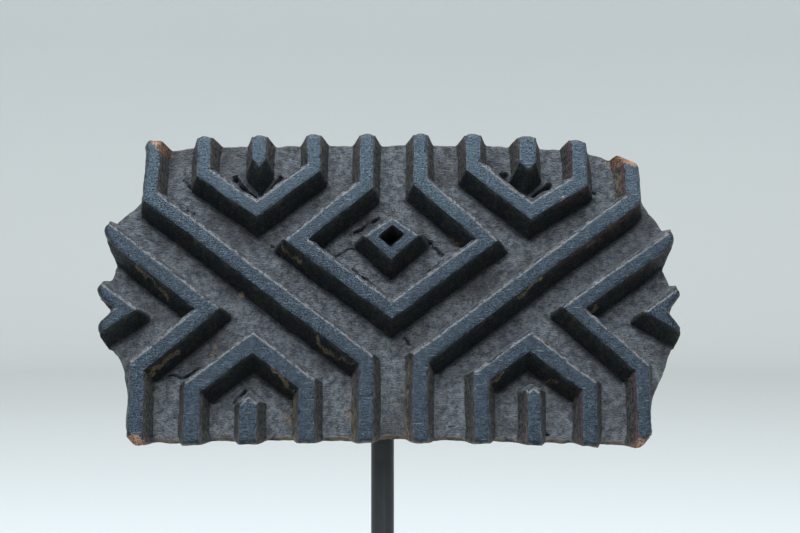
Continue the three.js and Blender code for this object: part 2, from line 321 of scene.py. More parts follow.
def nearest_on_loop(points, loop):
    """Each point's nearest place on a closed line, and whether the point is inside it."""
    best = np.full(len(points), np.inf)
    nearest = np.zeros_like(points)
    inside = np.zeros(len(points), bool)
    for a, b in zip(loop, np.roll(loop, -1, axis=0)):
        edge = b - a
        t = np.clip(((points - a) @ edge) / (edge @ edge), 0, 1)
        foot = a + t[:, None] * edge
        gap = ((points - foot) ** 2).sum(axis=1)
        closer = gap < best
        best[closer] = gap[closer]
        nearest[closer] = foot[closer]
        crosses = (a[1] > points[:, 1]) != (b[1] > points[:, 1])
        if edge[1] != 0:
            crossing_x = a[0] + (points[:, 1] - a[1]) * edge[0] / edge[1]
            inside ^= crosses & (points[:, 0] < crossing_x)
    return np.sqrt(best), nearest, inside


def rough_outline():
    """The block's outline with the small unevenness of a chopped and worn edge."""
    corners = np.array(FACE_OUTLINE, float)
    loop = []
    for a, b in zip(corners, np.roll(corners, -1, axis=0)):
        steps = max(1, int(np.linalg.norm(b - a) / 1.5))
        loop += [a + (b - a) * k / steps for k in range(steps)]
    loop = np.array(loop)
    smoothed = (np.roll(loop, 1, axis=0) + 2 * loop + np.roll(loop, -1, axis=0)) / 4
    along = np.roll(smoothed, -1, axis=0) - np.roll(smoothed, 1, axis=0)
    outward = np.stack([along[:, 1], -along[:, 0]], axis=1)
    outward /= np.linalg.norm(outward, axis=1)[:, None]
    wobble = 0.3 * smooth_noise(smoothed[:, 0], smoothed[:, 1], 5, BLOCK_SEED)
    wobble += 0.2 * smooth_noise(smoothed[:, 0], smoothed[:, 1], 1.8, BLOCK_SEED + 1)
    return smoothed + outward * wobble[:, None]


def taper(x, y, depth):
    """How the block's sides draw in towards its back."""
    up = (y - UNDERSIDE_Y) / (TOP_SIDE_Y - UNDERSIDE_Y)
    rise = math.tan(LEAN) * (1 - up) - math.tan(TOP_SIDE_TAPER) * up
    return x * (1 - depth * END_TAPER_PER_DEPTH), y + depth * rise


def stroke_strength(points, start, end, width):
    """1 on the middle of a stroke, falling to 0 at its edges."""
    start, end = np.array(start, float), np.array(end, float)
    edge = end - start
    t = np.clip(((points - start) @ edge) / (edge @ edge), 0, 1)
    gap = np.linalg.norm(points - start - t[:, None] * edge, axis=1)
    return np.clip(1 - (2 * gap / width) ** 2, 0, 1)


def carved_face():
    """The carved face as a grid whose vertices follow the creases: places, level, climb and masks."""
    low = np.min(FACE_OUTLINE, axis=0) - 2
    high = np.max(FACE_OUTLINE, axis=0) + 2
    xs = np.arange(low[0], high[0], PITCH)
    ys = np.arange(low[1], high[1], PITCH)
    columns, rows = np.meshgrid(xs, ys)
    points = np.stack([columns.ravel(), rows.ravel()], axis=1)

    outline = rough_outline()
    gap, nearest, inside = nearest_on_loop(points, outline)
    free = np.ones(len(points), bool)
    on_edge = gap < CREASE_REACH
    points[on_edge] = nearest[on_edge]
    free[on_edge] = False

    for corner in crease_corners():
        offset = np.linalg.norm(points - corner, axis=1)
        closest = offset.argmin()
        if offset[closest] < PITCH and free[closest]:
            points[closest] = corner
            free[closest] = False
    for crease in (0, 1):
        level, climb = relief_level(points)
        snap_to_level(points, level - crease, climb, free)
    pit, climb = piece_level(PIT_PIECE, points)
    snap_to_level(points, pit, climb, free)

    level, climb = relief_level(points)
    pit = piece_level(PIT_PIECE, points)[0]
    side = np.where(on_edge, 0, np.where(inside, -1, 1))
    signs = np.stack([
        np.sign(np.round(level, 6)), np.sign(np.round(level - 1, 6)),
        np.sign(np.round(pit, 6)), side,
    ])
    return points, (len(ys), len(xs)), level, climb, pit, side, signs, gap


def face_triangles(shape, side, signs, points):
    """Two triangles for each cell of the grid, split so that no crease is crossed."""
    rows, columns = shape
    index = np.arange(rows * columns).reshape(shape)
    a, b = index[:-1, :-1].ravel(), index[:-1, 1:].ravel()
    d, c = index[1:, :-1].ravel(), index[1:, 1:].ravel()
    crossed_ac = (signs[:, a] * signs[:, c] < 0).sum(axis=0)
    crossed_bd = (signs[:, b] * signs[:, d] < 0).sum(axis=0)
    length_ac = np.linalg.norm(points[a] - points[c], axis=1)
    length_bd = np.linalg.norm(points[b] - points[d], axis=1)
    use_ac = (crossed_ac < crossed_bd) | ((crossed_ac == crossed_bd) & (length_ac <= length_bd))
    first = np.where(use_ac[:, None], np.stack([a, b, c], 1), np.stack([a, b, d], 1))
    second = np.where(use_ac[:, None], np.stack([a, c, d], 1), np.stack([b, c, d], 1))
    triangles = np.concatenate([first, second])
    kept = (side[triangles] <= 0).all(axis=1) & ~(side[triangles] == 0).all(axis=1)
    return triangles[kept]


def boundary_loop(triangles):
    """The open edge of a sheet of triangles as one ordered loop of vertices."""
    edges = np.concatenate([triangles[:, [0, 1]], triangles[:, [1, 2]], triangles[:, [2, 0]]])
    present = set(map(tuple, edges))
    following = {a: b for a, b in present if (b, a) not in present}
    start = next(iter(sorted(following)))
    loop = [start]
    while following[loop[-1]] != start:
        loop.append(following[loop[-1]])
    return loop, len(following)


def facing(climb):
    """Which way each point's nearest wall faces, as unit directions on the face."""
    return climb / (np.linalg.norm(climb, axis=1) + 1e-12)[:, None]


def carved_depth(points, level, climb, pit, edge_gap):
    """Depth of the carved face at each point, with tool marks, wear and breaks, and its masks."""
    x, y = points.T
    seed = BLOCK_SEED + 10
    wall = np.clip(level, 0, 1)
    worn = np.interp(wall, [0, WORN_RUN, 1], [0, WORN_DEPTH, RELIEF])
    faces_up = smooth_step(0.25, 0.5, facing(climb)[:, 1])
    depth = RELIEF * wall * (1 - faces_up) + worn * faces_up
    on_top = level <= 1e-6
    inside_edge = np.where(on_top, -level * WALL_RUN, 0)
    depth += np.where(on_top, 0.2 * np.exp(-inside_edge / 0.3), 0)
    depth += np.where(on_top, 0.08 * smooth_noise(x, y, 7, seed), 0)
    nick = smooth_noise(x, y, 1.7, seed + 1) + 0.5 * smooth_noise(x, y, 6, seed + 2)
    depth += np.where(on_top, 1.1 * np.clip(nick - 0.75, 0, 1) * np.exp(-inside_edge / 0.5), 0)
    rounded_end = np.clip(1 - edge_gap / 2.0, 0, 1) ** 2
    corner = np.clip(1.6 - inside_edge, 0, 1.6) / 1.6
    rounding = (0.9 + 1.2 * corner * smooth_step(-40, 0, y)) * rounded_end
    depth = np.where(on_top, depth + rounding, np.maximum(depth, rounding))

    ground = smooth_step(0.9, 1.25, level)
    chop = 0.22 * smooth_noise(x, y, 4.5, seed + 3) + 0.14 * smooth_noise(x / 3, y, 1.1, seed + 4)
    chop += 0.08 * smooth_noise(x, y, 1.1, seed + 5)
    depth += ground * chop
    jagged = points + 0.32 * drift(x, y, 1.4, seed + 7)
    for start, end, width, how_deep in GOUGES:
        cut = stroke_strength(jagged, start, end, width) * smooth_step(0.6, 1, level)
        depth += how_deep * cut * (1 + 0.6 * smooth_noise(x, y, 1.6, seed + 9))

    in_pit = np.clip(-pit, 0, 1)
    depth = np.maximum(depth, PIT_DEPTH * in_pit)

    raw = np.zeros(len(points))
    for place, outward, slope in BREAKS:
        beyond = (points - np.array(place)) @ np.array(outward)
        beyond += 0.5 * smooth_noise(x, y, 2.2, seed + 6)
        broken = slope * np.clip(beyond, 0, None) * (np.linalg.norm(points - place, axis=1) < 9)
        raw = np.maximum(raw, smooth_step(0.05, 0.5, broken - depth))
        depth = np.maximum(depth, broken)
    return depth, raw


def hand_carved_shift(points, level, climb):
    """Sideways unevenness: lines that wander, and walls with the marks of downward cuts."""
    x, y = points.T
    seed = BLOCK_SEED + 30
    shift = 0.28 * drift(x, y, 9, seed) + 0.1 * drift(x, y, 2.6, seed + 4)
    steps = ((-BLEND_REACH, 0), (0, 0), (BLEND_REACH, 0))
    beside = [facing(relief_level(points + step)[1])[:, 1] for step in steps]
    under = np.mean([smooth_step(0.2, 0.6, -up) for up in beside], axis=0)
    below = np.clip(level, 0, 1) * smooth_step(SPREAD_ENDS_AT, 1, level)
    shift[:, 1] -= UNDER_SPREAD * under * below
    outward = facing(climb)
    along = x * -outward[:, 1] + y * outward[:, 0]
    on_wall = np.clip(4 * level * (1 - level), 0, 1) * (level > 0) * (level < 1)
    cuts = 0.2 * smooth_noise(along, level * 2.5, 1.2, seed + 2)
    cuts += 0.15 * smooth_noise(along, level * 2, 3.5, seed + 3)
    return shift + outward * (on_wall * cuts)[:, None]


def stitch(outer, inner):
    """Triangles between two loops of vertices that run the same way, the first one in front."""
    n, m = len(outer), len(inner)
    triangles = []
    i = j = 0
    while i < n or j < m:
        if j == m or (i < n and (i + 1) * m <= (j + 1) * n):
            triangles.append((outer[i % n], inner[j % m], outer[(i + 1) % n]))
            i += 1
        else:
            triangles.append((outer[i % n], inner[j % m], inner[(j + 1) % m]))
            j += 1
    return triangles


def to_frame(x, y, depth):
    """Points on the block as points in the frame, in metres."""
    washer_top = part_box("support_washer")[1].z / MM
    underside = washer_top + SEAT_GAP - SEAT_DEPTH
    forward = UNDERSIDE_Y * math.sin(LEAN) + HOLE_BEHIND_FACE / math.cos(LEAN)
    frame_x = x + FACE_OFFSET_X
    frame_y = y * math.sin(LEAN) + depth * math.cos(LEAN) - forward
    frame_z = (y - UNDERSIDE_Y) * math.cos(LEAN) - depth * math.sin(LEAN) + underside
    return np.stack([frame_x, frame_y, frame_z], axis=-1) * MM


def block_mesh():
    """The whole block: the carved face, its sides down to the back, and the back."""
    points, shape, level, climb, pit, side, signs, edge_gap = carved_face()
    triangles = face_triangles(shape, side, signs, points)
    used, triangles = np.unique(triangles, return_inverse=True)
    triangles = triangles.reshape(-1, 3)
    points, level, climb, pit = points[used], level[used], climb[used], pit[used]
    edge_gap = np.where(side[used] == 0, 0, edge_gap[used])
    depth, raw = carved_depth(points, level, climb, pit, edge_gap)
    loop, edges = boundary_loop(triangles)
    if len(loop) != edges:
        raise RuntimeError("the carved face's edge is not one loop")

    places = points + hand_carved_shift(points, level, climb)
    pulled = np.stack(taper(places[:, 0], places[:, 1], depth), axis=1)
    bottom_edge = smooth_step(4, 0, edge_gap) * smooth_step(-40, -46, points[:, 1])
    pulled[:, 1] += LOWER_NOTCH * bottom_edge * smooth_step(0.6, 1.6, level)
    top_edge = smooth_step(4, 0, edge_gap) * smooth_step(45, 50, points[:, 1])
    pulled[:, 1] -= UPPER_NOTCH * top_edge * smooth_step(0.6, 1.6, level)
    near_edge = smooth_step(8, 0, edge_gap)[:, None]
    front = places * (1 - near_edge) + pulled * near_edge

    xs, ys, depths = [front[:, 0]], [front[:, 1]], [depth]
    masks = {"level": [level], "raw": [raw], "side": [np.zeros(len(level))]}
    masks["facing_x"], masks["facing_y"] = ([way] for way in facing(climb).T)
    masks["pit"] = [smooth_step(0.02, -0.02, pit)]
    masks["rim"] = [smooth_step(0.9, 0, edge_gap)]
    faces = [triangles]
    count = len(level)

    rim = places[loop]
    rim_depth = depth[loop]
    ahead = np.roll(rim, -4, axis=0) - np.roll(rim, 4, axis=0)
    outward = np.stack([ahead[:, 1], -ahead[:, 0]], axis=1)
    outward /= np.linalg.norm(outward, axis=1)[:, None]

    def add_ring(x, y, deep, loop_before):
        nonlocal count, ring_number
        ring = list(range(count, count + len(x)))
        count += len(x)
        xs.append(x)
        ys.append(y)
        depths.append(deep)
        blank = np.zeros(len(x))
        masks["level"].append(blank + 2)
        masks["side"].append(blank + 1)
        for name in ("raw", "facing_x", "facing_y", "pit"):
            masks[name].append(blank)
        masks["rim"].append(blank + (ring_number == 0))
        faces.append(np.array(stitch(loop_before, ring)))
        ring_number += 1
        return ring

    ring = list(loop)
    ring_number = 0
    back = BLOCK_THICKNESS
    for row in range(1, SIDE_ROWS + 1):
        step = 1 if row == 1 else 3
        picked = slice(None, None, step)
        t = (row / SIDE_ROWS) ** 1.15
        deep = rim_depth[picked] * (1 - t) + (back - 1.2) * t
        chop = 0.45 * smooth_noise(np.cumsum(np.ones(len(rim)))[picked] / 2, deep, 7, BLOCK_SEED + 50)
        chop += 0.15 * smooth_noise(rim[picked, 0] + rim[picked, 1], deep, 2, BLOCK_SEED + 51)
        moved = rim[picked] + outward[picked] * (chop * min(1, row / 3))[:, None]
        x, y = taper(moved[:, 0], moved[:, 1], deep)
        y += LIP * smooth_step(LIP_START, LIP_END, deep) * smooth_step(-40, -46, moved[:, 1])
        ring = add_ring(x, y, deep, ring)

    rim = rim[::3]
    outward = outward[::3]
    for inset, deep in ((0.35, back - 0.45), (1.1, back)):
        x, y = taper(*(rim - outward * inset).T, np.full(len(rim), deep))
        ring = add_ring(x, y, np.full(len(rim), deep), ring)
    edge_x, edge_y = x, y - BACK_CENTRE_Y
    for scale, step in BACK_RINGS:
        x = edge_x[::step] * scale
        y = edge_y[::step] * scale + BACK_CENTRE_Y
        facets = np.abs(smooth_noise(x / 2.2 + y / 5, y, 7, BLOCK_SEED + 60))
        deep = back - 0.1 - 0.9 * facets + 0.2 * smooth_noise(x / 3, y, 3, BLOCK_SEED + 61)
        ring = add_ring(x, y, deep, ring)
    faces.append(np.array([(ring[i + 1], ring[i], ring[0]) for i in range(1, len(ring) - 1)]))

    vertices = to_frame(np.concatenate(xs), np.concatenate(ys), np.concatenate(depths))
    place = np.stack([np.concatenate(xs), np.concatenate(ys), np.concatenate(depths)], axis=1)
    masks = {name: np.concatenate(parts) for name, parts in masks.items()}
    return vertices, np.concatenate(faces), place, masks


def mesh_object(name, vertices, faces):
    mesh = bpy.data.meshes.new(name)
    mesh.from_pydata(vertices, [], faces)
    mesh.update()
    piece = bpy.data.objects.new(name, mesh)
    bpy.context.scene.collection.objects.link(piece)
    return piece


# --------------------
# Materials, as graphs of nodes.
# --------------------

class Graph:
    """A material's nodes, with a short call for each kind that is used here."""

    def __init__(self, name, roughness=0.5, metallic=0.0):
        self.material = bpy.data.materials.new(name)
        self.material.use_nodes = True
        self.nodes = self.material.node_tree.nodes
        self.links = self.material.node_tree.links
        self.shader = self.nodes["Principled BSDF"]
        self.shader.inputs["Roughness"].default_value = roughness
        self.shader.inputs["Metallic"].default_value = metallic

    def put(self, socket, value):
        if isinstance(value, bpy.types.NodeSocket):
            self.links.new(value, socket)
        else:
            socket.default_value = value

    def math(self, operation, a, b, clamp=False):
        node = self.nodes.new("ShaderNodeMath")
        node.operation = operation
        node.use_clamp = clamp
        self.put(node.inputs[0], a)
        self.put(node.inputs[1], b)
        return node.outputs[0]

    def times(self, a, b):
        return self.math("MULTIPLY", a, b)

    def plus(self, a, b):
        return self.math("ADD", a, b)

    def span(self, value, low, high):
        """0 below low, 1 above high and smooth between them."""
        node = self.nodes.new("ShaderNodeMapRange")
        node.interpolation_type = "SMOOTHSTEP"
        self.put(node.inputs["Value"], value)
        node.inputs["From Min"].default_value = low
        node.inputs["From Max"].default_value = high
        return node.outputs["Result"]

    def mix(self, factor, a, b):
        node = self.nodes.new("ShaderNodeMix")
        node.data_type = "RGBA"
        self.put(node.inputs["Factor"], factor)
        for socket, value in ((node.inputs[6], a), (node.inputs[7], b)):
            self.put(socket, value if isinstance(value, bpy.types.NodeSocket) else (*value, 1))
        return node.outputs[2]

    def attribute(self, name, output="Fac"):
        node = self.nodes.new("ShaderNodeAttribute")
        node.attribute_name = name
        return node.outputs[output]

    def object_place(self):
        return self.nodes.new("ShaderNodeTexCoord").outputs["Object"]

    def stretched(self, place, scale, turn=(0, 0, 0)):
        node = self.nodes.new("ShaderNodeMapping")
        self.links.new(place, node.inputs["Vector"])
        node.inputs["Scale"].default_value = scale
        node.inputs["Rotation"].default_value = turn
        return node.outputs["Vector"]

    def noise(self, place, scale, detail=3.0, roughness=0.55, distortion=0.0):
        node = self.nodes.new("ShaderNodeTexNoise")
        self.links.new(place, node.inputs["Vector"])
        node.inputs["Scale"].default_value = scale
        node.inputs["Detail"].default_value = detail
        node.inputs["Roughness"].default_value = roughness
        node.inputs["Distortion"].default_value = distortion
        return node.outputs["Fac"]

    def bump(self, height, distance):
        node = self.nodes.new("ShaderNodeBump")
        node.inputs["Distance"].default_value = distance
        node.inputs["Strength"].default_value = 1
        self.put(node.inputs["Height"], height)
        self.links.new(node.outputs["Normal"], self.shader.inputs["Normal"])

    def finish(self, colour, roughness=None):
        self.put(self.shader.inputs["Base Color"], colour)
        if roughness is not None:
            self.put(self.shader.inputs["Roughness"], roughness)
        return self.material


WOOD_SPECULAR = 0.4
WOOD_TINT = (0.74, 0.88, 1.0, 1)
WOOD_BUMP = 0.0014


def carved_wood():
    """Blue-black paint worn to a sheen on the ridges, with painted sheen brighter towards the top and
    a painted highlight on the upper edges; dull and dusty in the ground, with painted shadow at the
    walls' feet;
    near black under the ridges as painted shade, pale on the upward walls as painted light; with red,
    ochre and bare wood where it has come off."""
    g = Graph("carved_wood")
    place = g.attribute("face_place", "Vector")
    level = g.attribute("level")
    fine = g.noise(place, 1.7, 4, 0.7)
    speck = g.noise(place, 1.6, 2, 0.7)
    medium = g.noise(place, 0.42, 4, 0.6)
    broad = g.noise(place, 0.07, 3)
    fibre = g.noise(g.stretched(place, (0.75, 2.4, 1.0)), 1.0, 4, 0.68)
    down_grain = g.noise(g.stretched(place, (2.0, 0.6, 0.9)), 1.0, 4, 0.68)
    scratch = g.noise(g.stretched(place, (0.28, 3.4, 1), (0, 0, 0.32)), 0.8, 2, 0.5, 0.6)
    back_scratch = g.noise(g.stretched(place, (0.3, 3.2, 1), (0, 0, -0.42)), 0.7, 2, 0.5, 0.8)

    # Flat tops of the ridges.
    paint = g.plus(g.times(fine, 0.5), g.times(fibre, 0.5))
    top = g.mix(g.span(paint, 0.42, 0.58), (0.0004, 0.0008, 0.0015), (0.005, 0.010, 0.018))
    worn = g.times(g.span(medium, 0.46, 0.62), g.span(fine, 0.47, 0.55))
    top = g.mix(g.times(worn, 0.6), top, (0.040, 0.058, 0.078))
    # Painted sheen: the ridge tops are painted lighter towards the top of the block.
    painted_top_sheen = g.times(g.attribute("painted_top_sheen"), g.span(fine, 0.36, 0.62))
    top = g.mix(painted_top_sheen, top, (0.066, 0.088, 0.106))
    pits = g.span(g.noise(place, 1.05, 3, 0.6), 0.40, 0.32)
    top = g.mix(pits, top, (0.0006, 0.001, 0.002))
    scratches = g.math("MAXIMUM", g.span(scratch, 0.63, 0.71), g.span(back_scratch, 0.65, 0.73))
    top = g.mix(g.times(scratches, 0.6), top, (0.14, 0.18, 0.21))
    top = g.mix(g.times(g.span(speck, 0.68, 0.76), 0.5), top, (0.30, 0.26, 0.20))
    # Lighter band along every top edge: edge wear together with a painted highlight.
    edge = g.times(g.span(level, -0.16, -0.02), g.span(medium, 0.35, 0.6))
    top = g.mix(g.times(edge, 0.3), top, (0.08, 0.09, 0.10))
    # Painted highlight: a pale tan line along the top edges whose walls face up.
    upper_edge_highlight = g.times(g.span(level, -0.30, -0.06), g.attribute("wall_up"))
    upper_edge_highlight = g.times(upper_edge_highlight, g.span(g.noise(place, 0.8, 3), 0.36, 0.56))
    top = g.mix(g.times(upper_edge_highlight, 0.65), top, (0.20, 0.172, 0.150))

    # The ground between them.
    dust = g.plus(g.times(medium, 0.5), g.times(fibre, 0.5))
    ground = g.mix(g.span(dust, 0.38, 0.62), (0.062, 0.062, 0.065), (0.225, 0.226, 0.232))
    ground = g.mix(g.times(g.span(broad, 0.52, 0.68), 0.6), ground, (0.062, 0.052, 0.048))
    violet = g.times(g.span(g.noise(place, 0.16, 3), 0.58, 0.70), 0.35)
    ground = g.mix(violet, ground, (0.050, 0.040, 0.075))
    ground = g.mix(g.times(g.span(speck, 0.64, 0.74), 0.45), ground, (0.24, 0.20, 0.15))
    ground = g.mix(g.times(g.span(fine, 0.48, 0.38), 0.5), ground, (0.010, 0.010, 0.011))

    # Painted shadow: the ground is darkened near black at the foot of downward-facing walls.
    painted_contact_shadow = g.times(g.attribute("wall_down"), g.span(level, 2.1, 1.0))
    ground = g.mix(g.times(painted_contact_shadow, 0.72), ground, (0.014, 0.014, 0.015))

    # Walls, by the way they face: painted light on the upward walls, painted shade on the downward
    # walls.
    # Downward walls: near black as painted shade, mottled, with old ochre and red stains over it.
    grime_in_painted_shade = g.span(medium, 0.40, 0.68)
    under = g.mix(grime_in_painted_shade, (0.0006, 0.0005, 0.0003), (0.007, 0.005, 0.0025))
    old_ochre = g.times(g.span(g.noise(place, 0.5, 4, 0.7), 0.50, 0.64), 0.6)
    under = g.mix(old_ochre, under, (0.050, 0.036, 0.011))
    red_edge = g.times(g.attribute("red_edge"), g.span(medium, 0.38, 0.55))
    under = g.mix(red_edge, under, (0.055, 0.016, 0.012))
    # Upward walls: pale grain as painted light below the top edge, fading into the ground colour
    # further down.
    painted_lit_upwall = g.mix(g.span(down_grain, 0.42, 0.58), (0.060, 0.056, 0.055), (0.25, 0.225, 0.21))
    painted_lit_upwall = g.mix(g.span(medium, 0.56, 0.44), painted_lit_upwall, (0.050, 0.052, 0.056))
    painted_lit_upwall = g.mix(g.span(level, 0.25, 0.55), painted_lit_upwall, ground)
    stringy = g.mix(g.span(down_grain, 0.40, 0.62), (0.016, 0.014, 0.012), (0.120, 0.102, 0.084))
    red_band = g.times(g.attribute("red_band"), g.span(down_grain, 0.40, 0.56))
    stringy = g.mix(red_band, stringy, (0.105, 0.036, 0.036))
    tan_band = g.times(g.attribute("tan_band"), g.span(medium, 0.44, 0.60))
    stringy = g.mix(tan_band, stringy, (0.25, 0.19, 0.11))
    # Upward walls take the painted light and downward walls the painted shade.
    wall = g.mix(g.attribute("wall_up"), stringy, painted_lit_upwall)
    wall = g.mix(g.attribute("wall_down"), wall, under)
    crust = g.times(g.attribute("ochre"), g.noise(place, 1.1, 4, 0.75))
    crust_colour = g.mix(g.span(fine, 0.42, 0.56), (0.040, 0.028, 0.014), (0.20, 0.145, 0.075))
    wall = g.mix(g.span(crust, 0.33, 0.42), wall, crust_colour)

    colour = g.mix(g.span(level, 0.0, 0.05), top, wall)
    colour = g.mix(g.span(level, 0.92, 1.06), colour, ground)
    long_grain = g.noise(g.stretched(place, (0.045, 1.1, 0.9)), 1.0, 5, 0.65, 0.25)
    side_wood = g.mix(g.span(long_grain, 0.36, 0.62), (0.012, 0.010, 0.009), (0.062, 0.048, 0.037))
    side_wood = g.mix(g.times(g.span(broad, 0.42, 0.62), 0.75), side_wood, (0.022, 0.024, 0.027))
    side_wood = g.mix(g.times(old_ochre, 0.7), side_wood, (0.10, 0.074, 0.048))
    side_wood = g.mix(g.span(fine, 0.46, 0.38), side_wood, (0.008, 0.007, 0.006))
    colour = g.mix(g.attribute("side"), colour, side_wood)
    rim = g.times(g.attribute("rim"), g.span(medium, 0.38, 0.56))
    colour = g.mix(rim, colour, (0.20, 0.14, 0.085))
    crumbled = g.plus(g.times(g.span(fine, 0.43, 0.56), 0.75), 0.25)
    spot = g.times(g.attribute("tan_spot"), crumbled)
    colour = g.mix(g.span(spot, 0.30, 0.50), colour, (0.24, 0.18, 0.115))
    bare = g.mix(g.span(fine, 0.44, 0.54), (0.050, 0.022, 0.012), (0.36, 0.185, 0.105))
    colour = g.mix(g.attribute("raw"), colour, bare)

    dull = g.span(level, 0.0, 0.3)
    shine = g.math("SUBTRACT", 0.29, g.times(g.span(paint, 0.40, 0.60), 0.12))
    matt_spots = g.math("MAXIMUM", pits, g.span(fine, 0.47, 0.41))
    shine = g.plus(shine, g.times(matt_spots, 0.45))
    roughness = g.plus(shine, g.times(dull, 0.35))
    roughness = g.math("ADD", roughness, g.times(g.attribute("raw"), 0.2), clamp=True)
    rough_height = g.plus(g.times(fine, 0.6), fibre)
    height = g.plus(rough_height, g.times(scratches, -0.3))
    height = g.plus(height, g.times(long_grain, g.attribute("side")))
    height = g.times(height, g.plus(g.times(dull, 0.83), 0.17))
    g.bump(height, WOOD_BUMP)
    g.shader.inputs["Specular IOR Level"].default_value = WOOD_SPECULAR
    g.shader.inputs["Specular Tint"].default_value = WOOD_TINT
    return g.finish(colour, roughness)


def blackened_steel():
    """Waxed black steel: a satin skin with faint mottling and rubbed streaks."""
    g = Graph("blackened_steel")
    place = g.object_place()
    mottle = g.noise(place, 90, 4, 0.6)
    streak = g.noise(g.stretched(place, (900, 900, 18)), 1.0, 3)
    colour = g.mix(g.span(mottle, 0.35, 0.65), (0.006, 0.006, 0.006), (0.019, 0.019, 0.0185))
    colour = g.mix(g.times(g.span(streak, 0.55, 0.75), 0.35), colour, (0.07, 0.07, 0.07))
    roughness = g.plus(g.times(mottle, 0.25), 0.30)
    g.bump(g.plus(mottle, streak), 0.00004)
    return g.finish(colour, roughness)


def brass_liner():
    """Plain turned brass, dulled by handling."""
    g = Graph("brass_liner", metallic=1.0)
    place = g.object_place()
    tarnish = g.noise(place, 220, 4, 0.6)
    turning = g.noise(g.stretched(place, (20, 20, 6000)), 1.0, 2)
    colour = g.mix(g.span(tarnish, 0.38, 0.66), (0.62, 0.44, 0.19), (0.30, 0.19, 0.075))
    g.bump(turning, 0.00002)
    return g.finish(colour, g.plus(g.times(tarnish, 0.3), 0.22))


def washer_plastic():
    """Black moulded plastic, with the fine bloom of its mould."""
    g = Graph("washer_plastic")
    place = g.object_place()
    bloom = g.noise(place, 1500, 3)
    colour = g.mix(bloom, (0.016, 0.016, 0.017), (0.034, 0.034, 0.036))
    g.bump(bloom, 0.00003)
    return g.finish(colour, g.plus(g.times(bloom, 0.2), 0.42))


def fastener_steel():
    """Zinc-plated steel, slightly clouded."""
    g = Graph("fastener_steel", metallic=1.0)
    place = g.object_place()
    cloud = g.noise(place, 420, 4, 0.6)
    colour = g.mix(g.span(cloud, 0.35, 0.65), (0.44, 0.45, 0.47), (0.66, 0.66, 0.64))
    g.bump(g.noise(place, 2500, 2), 0.00001)
    return g.finish(colour, g.plus(g.times(cloud, 0.25), 0.2))


def pad_rubber():
    """Black rubber, a little dusty."""
    g = Graph("pad_rubber")
    place = g.object_place()
    grain = g.noise(place, 1800, 3)
    dust = g.noise(place, 60, 4, 0.6)
    colour = g.mix(g.span(dust, 0.5, 0.8), (0.012, 0.012, 0.013), (0.040, 0.039, 0.037))
    g.bump(grain, 0.00008)
    return g.finish(colour, g.plus(g.times(grain, 0.15), 0.72))


def studio_paper():
    """Matt, pale seamless backdrop."""
    g = Graph("studio_paper", roughness=0.9)
    place = g.object_place()
    colour = g.mix(g.noise(place, 1.5, 2), (0.575, 0.592, 0.583), (0.595, 0.612, 0.601))
    g.bump(g.noise(place, 400, 2), 0.0001)
    return g.finish(colour)


# --------------------
# Turned and milled pieces.
# --------------------

TURNED_SIDES = 96


def shade_smooth(piece, sharp_above=35):
    """Smooth shading, with the edges that turn by more than an angle in degrees kept crisp."""
    mesh = piece.data
    mesh.polygons.foreach_set("use_smooth", [True] * len(mesh.polygons))
    mesh.set_sharp_from_angle(angle=math.radians(sharp_above))


def lathe(name, profile, sides=TURNED_SIDES):
    """A closed solid turned about the vertical axis from a profile of (radius, height) in
    millimetres, anticlockwise with the outside on the right."""
    vertices = []
    rings = []
    for radius, height in profile:
        steps = 1 if radius == 0 else sides
        rings.append([len(vertices) + k for k in range(steps)])
        for k in range(steps):
            turn = 2 * math.pi * k / sides
            vertices.append((radius * math.cos(turn) * MM, radius * math.sin(turn) * MM, height * MM))
    faces = []
    joined = rings + ([rings[0]] if len(rings[0]) > 1 else [])
    for low, high in zip(joined, joined[1:]):
        for k in range(sides):
            a, b = low[k % len(low)], low[(k + 1) % len(low)]
            c, d = high[(k + 1) % len(high)], high[k % len(high)]
            corners = list(dict.fromkeys((a, b, c, d)))
            if len(corners) > 2:
                faces.append(corners)
    piece = mesh_object(name, vertices, faces)
    shade_smooth(piece)
    return piece


def rounded_corner(corner, before, after, radius, steps=4):
    """Points that round off one corner of a profile."""
    corner, before, after = Vector(corner), Vector(before), Vector(after)
    start = corner + (before - corner).normalized() * radius
    end = corner + (after - corner).normalized() * radius
    points = []
    for k in range(steps + 1):
        t = k / steps
        points.append(tuple(start * (1 - t) ** 2 + corner * (2 * t * (1 - t)) + end * t ** 2))
    return points


def softened(profile, radius, sharp=()):
    """A closed profile with its corners rounded, apart from those on the axis or in sharp."""
    points = []
    for i, corner in enumerate(profile):
        if corner[0] == 0 or i in sharp:
            points.append(corner)
        else:
            after = profile[(i + 1) % len(profile)]
            points += rounded_corner(corner, profile[i - 1], after, radius)
    return points


def low_high(node):
    """A CAD node's lowest and highest level, in millimetres."""
    low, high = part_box(node)
    return low.z / MM, high.z / MM


# Keeps two faces that rest on each other from lying in one plane.
CONTACT_GAP = 0.03

WASHER_RADII = (3.3, 8.0)
BUSH_RADII = (3.15, 4.0)
POST_RADIUS = 4.0
SPIGOT_RADIUS = 3.0
TAPPED_RADIUS = 2.6
TAPPED_DEPTH = 14.0
SPIGOT_CHAMFER = 0.8


def post():
    low, high = low_high("post")
    shoulder = low_high("support_washer")[0]
    profile = [
        (0, low + TAPPED_DEPTH), (TAPPED_RADIUS, low + TAPPED_DEPTH), (TAPPED_RADIUS, low),
        (POST_RADIUS, low), (POST_RADIUS, shoulder), (SPIGOT_RADIUS, shoulder),
        (SPIGOT_RADIUS, high - SPIGOT_CHAMFER), (SPIGOT_RADIUS - SPIGOT_CHAMFER, high), (0, high),
    ]
    piece = lathe("display_post", softened(profile, 0.25))
    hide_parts("post")
    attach(piece, "stand")
    return piece


